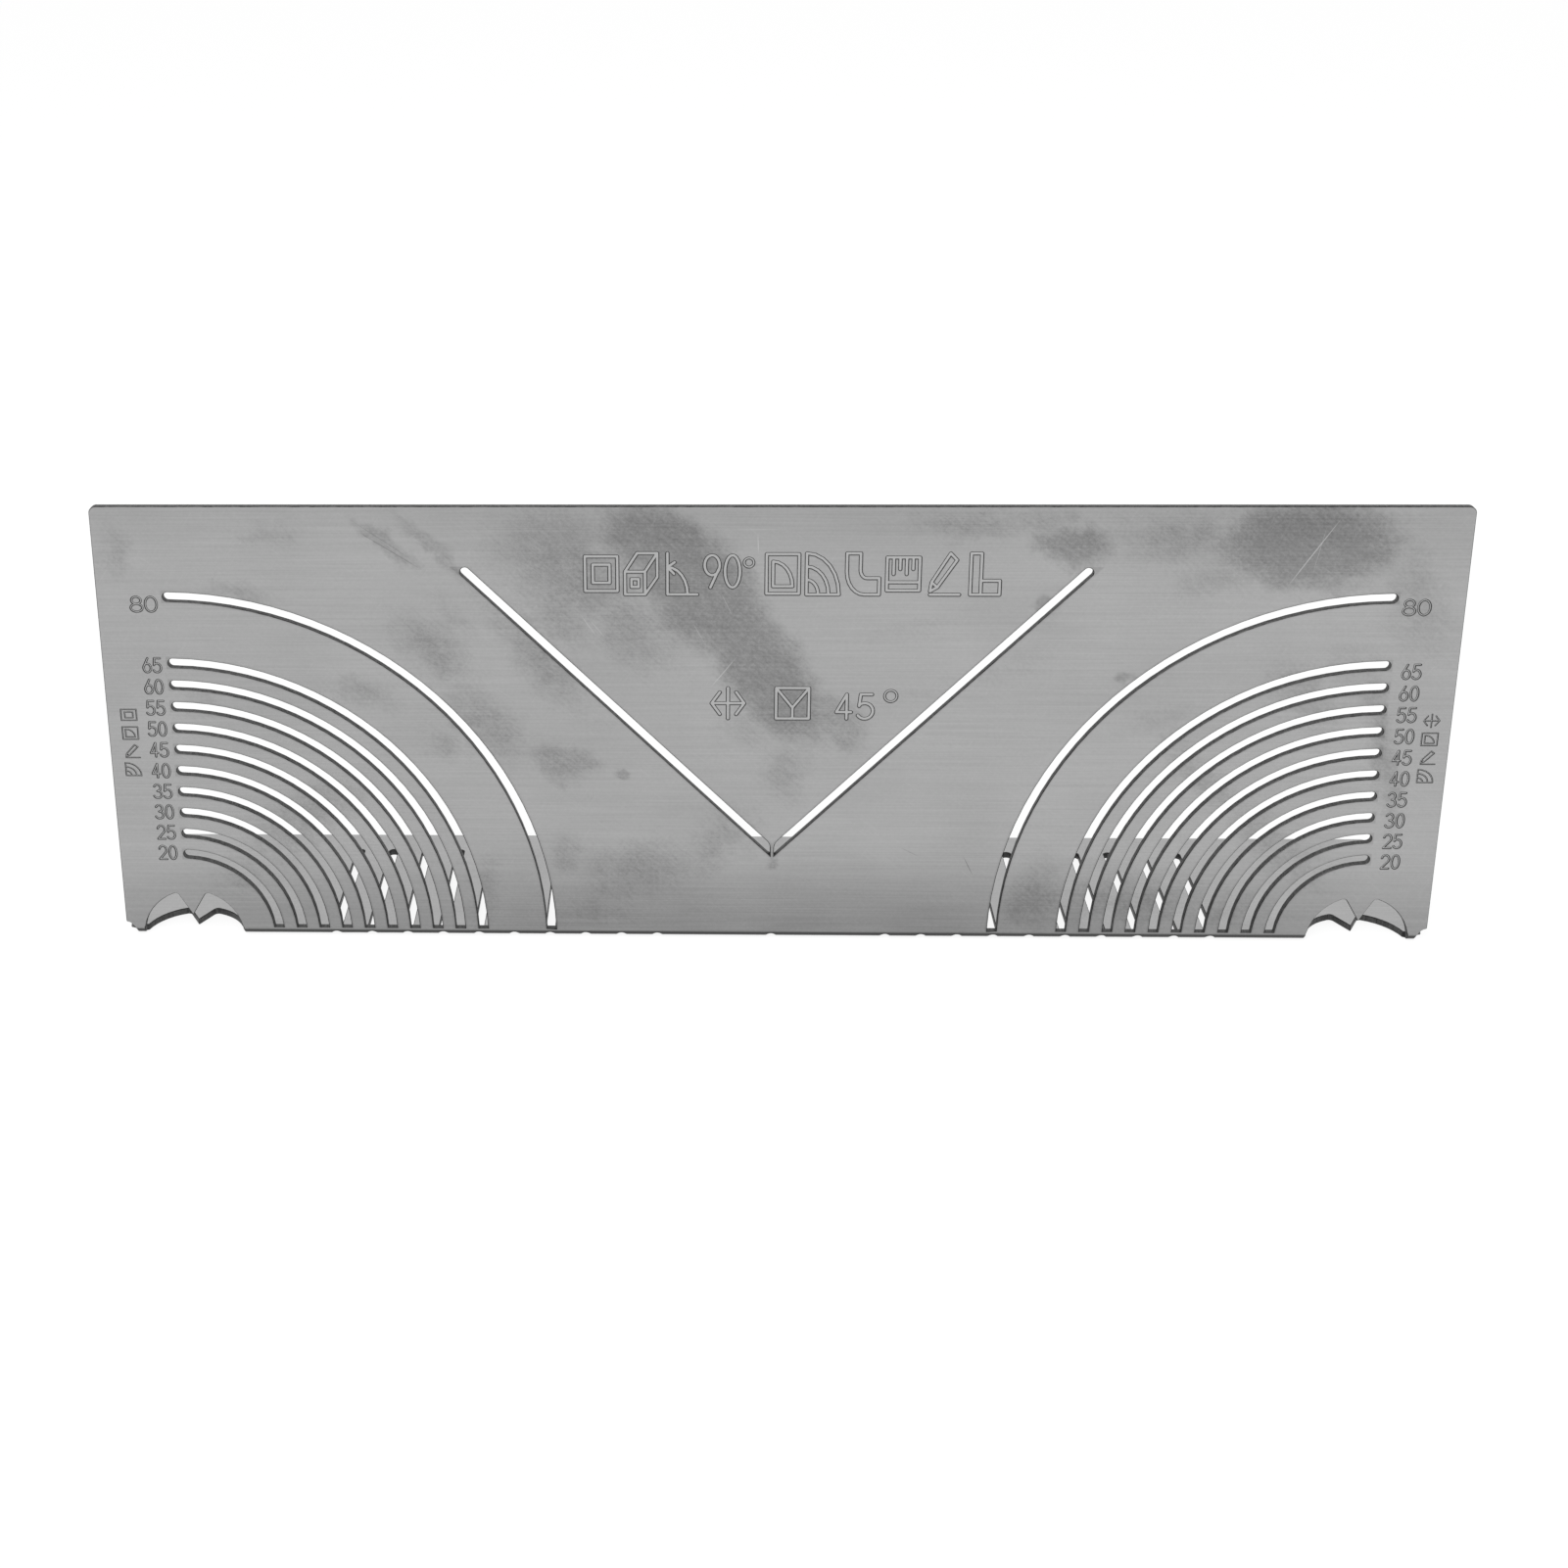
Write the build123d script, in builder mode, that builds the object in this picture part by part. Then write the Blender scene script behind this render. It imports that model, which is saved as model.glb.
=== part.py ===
"""Marking gauge for square tube: one stainless steel sheet, laser cut flat and folded once.

The tube lies in the inner angle, on the leg and against the back of the plate, and a scriber
runs in the slots. Sizes are in millimetres. X runs along the fold, with its zero in the
middle. Y runs from the front of the plate to the back, with its zero half way along the leg.
Z goes up from the underside of the leg.
"""

import os
from math import acos, degrees, pi, radians, tan

from build123d import *

# Folded sheet
sheet = 1.5
plate_width = 284.0
leg_depth = 45.0
bend_inner_radius = 0.5
corner_radius = 1.5
relief_radius = 2.2

# Scribing slots: the radii that they mark run up in steps, and one stands alone above them
slot_width = 2.0
smallest_radius = 20.0
radius_step = 5.0
stepped_count = 10
largest_radius = 80.0
plate_margin_above_arcs = 20.0

# Sight marks near both ends, and the arc centres just outside them
mark_inset = 15.0
arc_centre_offset = 1.0

# Straight slots in the leg
leg_slot_margin = 7.5
leg_slot_rise_above_leg = 0.1

# Mitre slots, which form a V with a thin web at its foot
mitre_angle = 45.0
mitre_foot_height = 21.2
mitre_top_margin = 14.4
web_width = 0.85
web_fillet = 2.6

# Sight windows, each with a pointer on the plate and one on the leg
window_radius = 11.0
window_leg_setback = 1.2
pointer_angle = 60.0
plate_pointer_height = 5.0
leg_pointer_height = 4.3
pointer_root_fillet = 0.9

# How far the cutters reach past the faces of the sheet
overshoot = 3.0

# Worked out from the sizes above
bend_outer_radius = bend_inner_radius + sheet
plate_height = largest_radius + plate_margin_above_arcs
stepped_radii = [smallest_radius + step * radius_step for step in range(stepped_count)]
arc_radii = stepped_radii + [largest_radius]
mark_x = plate_width / 2 - mark_inset
arc_centre_x = mark_x + arc_centre_offset
mitre_top_height = plate_height - mitre_top_margin
bend_cut_depth = overshoot + bend_outer_radius


def arc_slot_line(radius):
    """Return the middle line of a right-hand arc slot, from above the mark to below the fold."""
    start_angle = degrees(acos(-arc_centre_offset / radius))
    return CenterArc((arc_centre_x, 0), radius, start_angle, 180 - start_angle)


def mitre_point(height):
    """Return the point of the right-hand mitre slot's middle line at the given height."""
    return ((height - mitre_foot_height) / tan(radians(mitre_angle)), height)


def leg_slot_line(place):
    """Return the middle line of a straight slot, from outside the fold to near the far edge."""
    return Line((place, -slot_width), (place, leg_depth - leg_slot_margin - slot_width / 2))


# Where each arc ends when it is unrolled from the mark, its straight slot crosses the leg. The
# longest arc unrolls to the middle from either mark, so one slot there serves both sides.
leg_slot_places = [mark_x - radius * pi / 2 for radius in stepped_radii] + [0]

leg_slot_lines = [leg_slot_line(place) for place in leg_slot_places]
arc_slot_lines = [arc_slot_line(radius) for radius in arc_radii]
mitre_slot_line = Line(mitre_point(0), mitre_point(mitre_top_height))

# The outer faces of the plate and of the leg would meet at this point, were the fold sharp
fold_corner = (0, -leg_depth / 2, 0)
section_face = Plane(origin=fold_corner, x_dir=(0, 1, 0), z_dir=(1, 0, 0))
plate_face = Plane(origin=fold_corner, x_dir=(1, 0, 0), z_dir=(0, -1, 0)).offset(overshoot)
leg_face = Plane(origin=fold_corner, x_dir=(1, 0, 0), z_dir=(0, 0, 1)).offset(-overshoot)
fold_bisector = Plane(origin=fold_corner, x_dir=(1, 0, 0), z_dir=(0, 1, 1))

# Each window is cut through the plate and through the leg
window_cuts = (
    (plate_face, -bend_cut_depth, 0, plate_pointer_height),
    (leg_face, bend_cut_depth, window_leg_setback, leg_pointer_height),
)

with BuildPart() as gauge_plate:
    # Folded section, run along the fold
    with BuildSketch(section_face) as section:
        with BuildLine():
            Polyline(
                (0, 0),
                (leg_depth, 0),
                (leg_depth, sheet),
                (sheet, sheet),
                (sheet, plate_height),
                (0, plate_height),
                close=True,
            )
        make_face()
        fillet(section.vertices().sort_by_distance((0, 0))[0], bend_outer_radius)
        fillet(section.vertices().sort_by_distance((sheet, sheet))[0], bend_inner_radius)
    extrude(amount=plate_width / 2, both=True)

    # Free corners of the plate and of the leg
    plate_corners = edges().filter_by(Axis.Y).group_by(Axis.Z)[-1]
    leg_corners = edges().filter_by(Axis.Z).group_by(Axis.Y)[-1]
    fillet(plate_corners + leg_corners, corner_radius)

    # Round relief at both ends of the fold
    with BuildSketch(fold_bisector):
        with GridLocations(plate_width, 0, 2, 1):
            Circle(relief_radius)
    extrude(amount=bend_cut_depth, both=True, mode=Mode.SUBTRACT)

    # Arc slots, cut off square where the bend begins
    with BuildSketch(plate_face):
        for line in arc_slot_lines:
            SlotArc(line, slot_width)
        with Locations((0, bend_outer_radius)):
            Rectangle(
                plate_width,
                arc_radii[-1],
                align=(Align.CENTER, Align.MAX),
                mode=Mode.SUBTRACT,
            )
        mirror(about=Plane.YZ)
    extrude(amount=-bend_cut_depth, mode=Mode.SUBTRACT)

    # Mitre slots, held apart by the web
    with BuildSketch(plate_face) as mitre_slots:
        SlotArc(mitre_slot_line, slot_width)
        with Locations((web_width / 2, 0)):
            Rectangle(
                plate_width,
                2 * plate_height,
                align=(Align.MAX, Align.CENTER),
                mode=Mode.SUBTRACT,
            )
        web_corners = mitre_slots.vertices().group_by(Axis.X)[0]
        fillet(web_corners.sort_by(Axis.Y)[-1], web_fillet)
        mirror(about=Plane.YZ)
    extrude(amount=-bend_cut_depth, mode=Mode.SUBTRACT)

    # Straight slots of the leg, which start in the bend
    with BuildSketch(leg_face):
        for line in leg_slot_lines:
            SlotArc(line, slot_width)
        mirror(about=Plane.YZ)
    extrude(
        amount=overshoot + sheet + leg_slot_rise_above_leg,
        mode=Mode.SUBTRACT,
    )

    # Sight windows, which cross the fold
    for face, depth, setback, pointer_height in window_cuts:
        with BuildSketch(face) as window:
            with Locations((mark_x, -setback)):
                Circle(window_radius)
            pointer_half_width = window_radius * tan(radians(pointer_angle / 2))
            Polygon(
                (mark_x, pointer_height),
                (mark_x + pointer_half_width, pointer_height + window_radius),
                (mark_x - pointer_half_width, pointer_height + window_radius),
                align=None,
                mode=Mode.SUBTRACT,
            )
            fillet(window.vertices().group_by(Axis.Y)[-1], pointer_root_fillet)
            mirror(about=Plane.YZ)
        extrude(amount=depth, mode=Mode.SUBTRACT)

gauge_plate.part.label = "gauge_plate"

os.makedirs("parts", exist_ok=True)
export_step(gauge_plate.part, "parts/gauge_plate.step")
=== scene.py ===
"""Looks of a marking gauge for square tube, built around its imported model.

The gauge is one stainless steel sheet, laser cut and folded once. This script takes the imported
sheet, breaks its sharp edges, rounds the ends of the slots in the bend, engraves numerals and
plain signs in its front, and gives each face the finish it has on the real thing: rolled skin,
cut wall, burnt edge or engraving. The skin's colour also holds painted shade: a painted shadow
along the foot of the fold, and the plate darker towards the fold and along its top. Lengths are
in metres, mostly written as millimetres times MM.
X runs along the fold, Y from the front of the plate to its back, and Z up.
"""

import logging
import math
from collections.abc import Iterable, Iterator
from contextlib import contextmanager
from dataclasses import dataclass
from enum import Enum
from functools import reduce
from itertools import zip_longest

import bpy
from mathutils import Matrix, Vector

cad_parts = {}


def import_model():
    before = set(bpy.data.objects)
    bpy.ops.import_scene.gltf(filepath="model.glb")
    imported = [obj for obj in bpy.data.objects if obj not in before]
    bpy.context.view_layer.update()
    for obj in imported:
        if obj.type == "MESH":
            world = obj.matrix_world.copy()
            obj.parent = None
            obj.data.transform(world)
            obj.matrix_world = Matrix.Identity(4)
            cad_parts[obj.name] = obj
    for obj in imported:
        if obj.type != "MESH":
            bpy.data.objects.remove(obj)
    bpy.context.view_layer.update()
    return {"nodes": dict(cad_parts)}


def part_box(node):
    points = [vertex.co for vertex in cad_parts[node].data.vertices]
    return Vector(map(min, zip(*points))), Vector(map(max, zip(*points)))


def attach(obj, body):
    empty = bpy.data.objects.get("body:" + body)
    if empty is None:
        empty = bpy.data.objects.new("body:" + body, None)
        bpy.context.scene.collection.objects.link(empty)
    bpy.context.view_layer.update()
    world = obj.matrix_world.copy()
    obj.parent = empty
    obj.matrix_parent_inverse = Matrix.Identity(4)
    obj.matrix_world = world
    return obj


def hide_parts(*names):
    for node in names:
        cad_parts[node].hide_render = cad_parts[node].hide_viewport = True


MM = 0.001
SHEET_NODE = "gauge_plate"
STEPPED_RADII = (20, 25, 30, 35, 40, 45, 50, 55, 60, 65)
LARGEST_RADIUS = 80
LEVEL_NORMAL = 0.9
RELIEF_DEPTH = 0.02 * MM
BOW_STEP = 15

Point = tuple[float, float]
Triple = tuple[float, float, float]
Grey = tuple[float, float, float, float]

log = logging.getLogger("marking_gauge")


def grey(level: float) -> Grey:
    """Return a neutral colour of the given linear brightness."""
    return (level, level, level, 1.0)


# Shader maths as Python expressions


@dataclass(frozen=True)
class Pattern:
    """A noise: the size of its blots in millimetres, its finer layers and its lean."""

    blot: Triple
    layers: float = 2.0
    roughness: float = 0.5
    lean: float = 0.0


class Signal:
    """A shader socket that Python's operators turn into Math nodes."""

    def __init__(self, bench: "ShaderBench", socket: bpy.types.NodeSocket) -> None:
        """Wrap one output socket.

        Args:
            bench: The node tree that the socket belongs to.
            socket: The output to be used in expressions.
        """
        self.bench = bench
        self.socket = socket

    def __add__(self, other: "Signal | float") -> "Signal":
        """Return the sum."""
        return self.bench.math("ADD", self, other)

    def __radd__(self, other: float) -> "Signal":
        """Return the sum with a number on the left."""
        return self.bench.math("ADD", other, self)

    def __sub__(self, other: "Signal | float") -> "Signal":
        """Return the difference."""
        return self.bench.math("SUBTRACT", self, other)

    def __rsub__(self, other: float) -> "Signal":
        """Return the difference from a number on the left."""
        return self.bench.math("SUBTRACT", other, self)

    def __mul__(self, other: "Signal | float") -> "Signal":
        """Return the product."""
        return self.bench.math("MULTIPLY", self, other)

    def __rmul__(self, other: float) -> "Signal":
        """Return the product with a number on the left."""
        return self.bench.math("MULTIPLY", other, self)

    def most(self, other: "Signal | float") -> "Signal":
        """Return the larger of the two."""
        return self.bench.math("MAXIMUM", self, other)

    def least(self, other: "Signal | float") -> "Signal":
        """Return the smaller of the two."""
        return self.bench.math("MINIMUM", self, other)

    def above(self, limit: float) -> "Signal":
        """Return 1 where the signal is above the limit, and otherwise 0."""
        return self.bench.math("GREATER_THAN", self, limit)

    def __abs__(self) -> "Signal":
        """Return the size without its sign."""
        return self.bench.math("ABSOLUTE", self, 0.0)

    def off_step(self, pitch: float) -> "Signal":
        """Return the distance to the nearest multiple of a pitch."""
        return self.bench.math("PINGPONG", self, pitch / 2)

    def step(self, low: float, high: float) -> "Signal":
        """Return a soft step.

        Args:
            low: The value at which the step begins, as 0.
            high: The value at which the step has reached 1.

        Returns:
            The step, between 0 and 1.
        """
        node = self.bench.node(
            "ShaderNodeMapRange",
            {"interpolation_type": "SMOOTHSTEP"},
            {"Value": self, "From Min": low, "From Max": high},
        )
        return Signal(self.bench, node.outputs["Result"])


class ShaderBench:
    """A material's node tree, with short ways to add nodes to it."""

    def __init__(self, name: str) -> None:
        """Start an empty material.

        Args:
            name: The name of the material.
        """
        self.material = bpy.data.materials.new(name)
        self.material.use_nodes = True
        self.tree = self.material.node_tree
        self.tree.nodes.clear()

    def node(
        self,
        kind: str,
        settings: dict[str, object] | None = None,
        inputs: dict[str | int, object] | None = None,
    ) -> bpy.types.Node:
        """Add a node.

        Args:
            kind: The node's type, as Blender names it.
            settings: Properties of the node, which are set first.
            inputs: Values or signals for its sockets, by name or number.

        Returns:
            The new node.
        """
        node = self.tree.nodes.new(kind)
        for name, value in (settings or {}).items():
            setattr(node, name, value)
        for name, value in (inputs or {}).items():
            if isinstance(value, Signal):
                self.tree.links.new(value.socket, node.inputs[name])
            else:
                node.inputs[name].default_value = value
        return node

    def math(self, operation: str, left: Signal | float, right: Signal | float) -> Signal:
        """Add a Math node.

        Args:
            operation: The node's operation.
            left: The first value.
            right: The second value.

        Returns:
            The node's result.
        """
        node = self.node("ShaderNodeMath", {"operation": operation}, {0: left, 1: right})
        return Signal(self, node.outputs[0])

    def place(self) -> Signal:
        """Return the place on the object, in metres."""
        return Signal(self, self.node("ShaderNodeTexCoord").outputs["Object"])

    def mapped(
        self,
        place: Signal,
        size: Triple,
        centre: Triple = (0.0, 0.0, 0.0),
        lean: float = 0.0,
    ) -> Signal:
        """Express a place in a pattern's own directions and sizes.

        Args:
            place: The place on the object.
            size: The length of one unit of the pattern along its X, Y and Z.
            centre: The pattern's centre.
            lean: The turn of the pattern in the plate's face, in degrees, rising to the right.

        Returns:
            The place in the pattern.
        """
        node = self.node(
            "ShaderNodeMapping",
            {"vector_type": "TEXTURE"},
            {
                "Vector": place,
                "Location": centre,
                "Rotation": (0.0, math.radians(-lean), 0.0),
                "Scale": size,
            },
        )
        return Signal(self, node.outputs[0])

    def along(self, place: Signal, axis: str) -> Signal:
        """Return one coordinate of a place.

        Args:
            place: The place.
            axis: X, Y or Z.

        Returns:
            The coordinate.
        """
        node = self.node("ShaderNodeSeparateXYZ", None, {"Vector": place})
        return Signal(self, node.outputs[axis])

    def length(self, vector: Signal) -> Signal:
        """Return the length of a vector."""
        node = self.node("ShaderNodeVectorMath", {"operation": "LENGTH"}, {0: vector})
        return Signal(self, node.outputs["Value"])

    def noise_node(self, place: Signal, pattern: Pattern) -> bpy.types.Node:
        """Add the node of a noise pattern.

        Args:
            place: The place on the object.
            pattern: The pattern.

        Returns:
            The noise node.
        """
        size = tuple(side * MM for side in pattern.blot)
        return self.node(
            "ShaderNodeTexNoise",
            {"noise_dimensions": "3D"},
            {
                "Vector": self.mapped(place, size, lean=pattern.lean),
                "Scale": 1.0,
                "Detail": pattern.layers,
                "Roughness": pattern.roughness,
            },
        )

    def noise(self, place: Signal, pattern: Pattern) -> Signal:
        """Return a noise pattern, around 0.5."""
        return Signal(self, self.noise_node(place, pattern).outputs["Fac"])

    def strayed(self, place: Signal, pattern: Pattern, reach: float) -> Signal:
        """Shift places along the plate's face by a noise, so that outlines wander.

        Args:
            place: The place.
            pattern: The noise.
            reach: The noise's whole reach.

        Returns:
            The shifted place.
        """
        noise = self.noise_node(place, pattern)
        shift = self.node(
            "ShaderNodeVectorMath",
            {"operation": "MULTIPLY_ADD"},
            {0: Signal(self, noise.outputs["Color"]), 1: (reach, 0.0, reach)},
        )
        shift.inputs[2].default_value = (-reach / 2, 0.0, -reach / 2)
        moved = self.node(
            "ShaderNodeVectorMath",
            {"operation": "ADD"},
            {0: place, 1: Signal(self, shift.outputs[0])},
        )
        return Signal(self, moved.outputs[0])

    def blend(self, share: Signal, first: Signal | Grey, second: Signal | Grey) -> Signal:
        """Mix two colours.

        Args:
            share: The share of the second colour.
            first: The colour at share 0.
            second: The colour at share 1.

        Returns:
            The mixed colour.
        """
        node = self.node(
            "ShaderNodeMix", {"data_type": "RGBA"}, {"Factor": share, 6: first, 7: second}
        )
        return Signal(self, node.outputs[2])

    def finish(self, surface: bpy.types.Node) -> bpy.types.Material:
        """Connect the surface and return the material.

        Args:
            surface: The node whose first output is the surface.

        Returns:
            The finished material.
        """
        output = self.node("ShaderNodeOutputMaterial")
        self.tree.links.new(surface.outputs[0], output.inputs["Surface"])
        return self.material

    def metal(
        self,
        colour: Signal,
        roughness: Signal,
        relief: Signal | None = None,
        relief_strength: float = 0.0,
    ) -> bpy.types.Material:
        """Finish the material as metal.

        Args:
            colour: The base colour.
            roughness: The roughness.
            relief: The height of fine relief, if it has any.
            relief_strength: How much the relief counts.

        Returns:
            The finished material.
        """
        inputs = {"Base Color": colour, "Metallic": 1.0, "Roughness": roughness}
        if relief is not None:
            bump = self.node(
                "ShaderNodeBump",
                None,
                {"Strength": relief_strength, "Distance": RELIEF_DEPTH, "Height": relief},
            )
            inputs["Normal"] = Signal(self, bump.outputs[0])
        return self.finish(self.node("ShaderNodeBsdfPrincipled", None, inputs))


# Finishes


@dataclass(frozen=True)
class Patch:
    """An oval patch on the front of the plate, in millimetres and degrees."""

    x: float
    z: float
    half_length: float
    half_width: float
    lean: float
    strength: float
    softness: float = 1.0


HANDLING_SMUDGES = (
    Patch(-137.3, 90.7, 8.7, 3.8, 83, 0.47),
    Patch(-106.0, 93.3, 9.6, 4.0, -6, 0.39),
    Patch(-112.0, 80.7, 11.6, 3.5, -9, 0.55),
    Patch(-80.6, 92.0, 12.5, 2.1, -41, 0.55, 0.7),
    Patch(-71.1, 90.3, 14.0, 2.9, -45, 0.47, 0.7),
    Patch(-72.0, 68.0, 12.9, 7.1, -43, 0.68),
    Patch(-65.6, 73.3, 9.9, 4.3, -48, 0.31),
    Patch(-50.3, 68.0, 22.3, 6.6, -53, 0.67),
    Patch(-44.3, 60.0, 10.1, 3.7, -53, 0.43),
    Patch(-60.7, 51.3, 15.8, 8.7, -48, 0.66),
    Patch(-70.7, 46.3, 7.6, 5.5, -43, 0.5),
    Patch(-44.0, 42.5, 9.0, 5.6, -20, 0.56, 0.5),
    Patch(-32.8, 39.5, 2.5, 2.2, 0, 0.62, 0.6),
    Patch(-44.7, 20.3, 6.6, 6.3, -33, 0.48),
    Patch(-28.8, 17.5, 15.7, 9.8, 17, 0.58),
    Patch(-45.0, 75.5, 12.0, 7.0, -50, 0.66),
    Patch(0.0, 19.4, 2.2, 1.4, 0, 0.55, 0.8),
    Patch(-12.0, 24.2, 14.4, 7.8, 38, 0.51),
    Patch(-37.8, 7.6, 15.1, 5.9, 0, 0.31),
    Patch(-87.0, 58.1, 10.3, 4.8, -11, 0.57),
    Patch(-121.6, 55.2, 8.4, 5.0, 0, 0.37),
    Patch(-100.7, 28.5, 23.7, 8.5, 43, 0.56),
    Patch(-114.8, 15.6, 11.0, 6.0, 42, 0.39),
    Patch(-63.0, 12.3, 11.3, 5.2, 79, 0.43),
    Patch(-22.9, 91.6, 17.8, 9.5, -19, 0.95, 0.67),
    Patch(-14.8, 80.8, 20.4, 13.0, -50, 1, 0.54),
    Patch(-1.2, 62.3, 23.0, 10.8, -56, 0.95, 0.57),
    Patch(12.5, 52.3, 12.4, 6.3, -47, 0.55, 0.6),
    Patch(-41.8, 84.3, 24.4, 15.4, -32, 0.76),
    Patch(-30.7, 73.4, 17.5, 10.6, -42, 0.64),
    Patch(-54.9, 90.7, 9.7, 6.8, -32, 0.39),
    Patch(2.8, 40.8, 11.9, 6.2, -71, 0.53),
    Patch(-6.1, 49.9, 7.8, 5.9, -52, 0.39),
    Patch(41.6, 96.4, 20.2, 5.2, 0, 0.51),
    Patch(61.0, 91.7, 9.9, 6.6, -26, 0.9, 0.72),
    Patch(53.6, 97.2, 11.7, 3.7, 0, 0.47),
    Patch(83.6, 93.4, 21.1, 8.9, 0, 0.58),
    Patch(108.6, 91.3, 23.1, 11.4, 0, 1.28, 0.72),
    Patch(92.3, 84.4, 16.3, 6.3, 11, 0.47),
    Patch(56.5, 78.3, 3.8, 3.4, 0, 0.66, 0.7),
    Patch(73.5, 61.0, 3.4, 2.0, 0, 0.66, 0.7),
    Patch(110.6, 57.7, 14.9, 7.4, -50, 0.51),
    Patch(91.2, 39.3, 21.5, 5.6, -46, 0.48),
    Patch(108.0, 23.4, 20.8, 7.8, -46, 0.55),
    Patch(80.4, 52.5, 14.3, 3.9, 23, 0.33),
    Patch(128.2, 45.9, 28.6, 4.9, -79, 0.66),
    Patch(132.2, 79.7, 22.1, 9.2, -75, 0.43),
    Patch(120.0, 64.9, 10.4, 6.5, -40, 0.35),
    Patch(57.0, 11.3, 11.8, 8.7, 65, 0.62),
    Patch(77.0, 9.1, 22.4, 8.8, 0, 0.51),
    Patch(98.2, 7.3, 14.9, 5.9, 0, 0.39),
    Patch(43.0, 62.4, 26.2, 4.4, 17, 0.23),
    Patch(30.4, 73.5, 14.3, 3.2, 9, 0.23),
)

# Painted shade: the skin's colour is darkened towards the fold, fading out some 26 mm up, and a
# little along the top edge.
FOLD_SHADE = Patch(0.0, 0.0, 260.0, 21.0, 0, 1.0, 1.0)
TOP_SHADE = Patch(0.0, 100.0, 260.0, 12.0, 0, 0.28, 1.0)

LIGHT_SCRATCHES = (
    Patch(110.0, 90.0, 9.2, 0.12, 57, 0.9, 0.5),
    Patch(111.2, 91.0, 5.4, 0.07, 79, 0.5, 0.5),
    Patch(-10.6, 63.2, 4.4, 0.12, 52, 0.7, 0.5),
    Patch(-38.9, 73.8, 2.9, 0.12, -56, 0.5, 0.5),
    Patch(-37.1, 73.1, 2.9, 0.1, -52, 0.5, 0.5),
    Patch(-3.6, 91.9, 2.2, 0.1, 92, 0.7, 0.5),
    Patch(-4.2, 95.0, 5.4, 0.06, 1, 0.5, 0.5),
    Patch(-15.8, 72.0, 3.4, 0.09, -62, 0.4, 0.5),
    Patch(-10.0, 78.5, 3.4, 0.09, -65, 0.4, 0.5),
)

DARK_SCRATCHES = (
    Patch(-79.9, 90.4, 8.6, 0.12, -33, 0.6, 0.5),
    Patch(-82.0, 93.1, 8.4, 0.1, -35, 0.4, 0.5),
    Patch(42.3, 18.0, 2.6, 0.12, -64, 0.9, 0.5),
    Patch(29.6, 21.3, 2.4, 0.1, -28, 0.6, 0.5),
)


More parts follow.
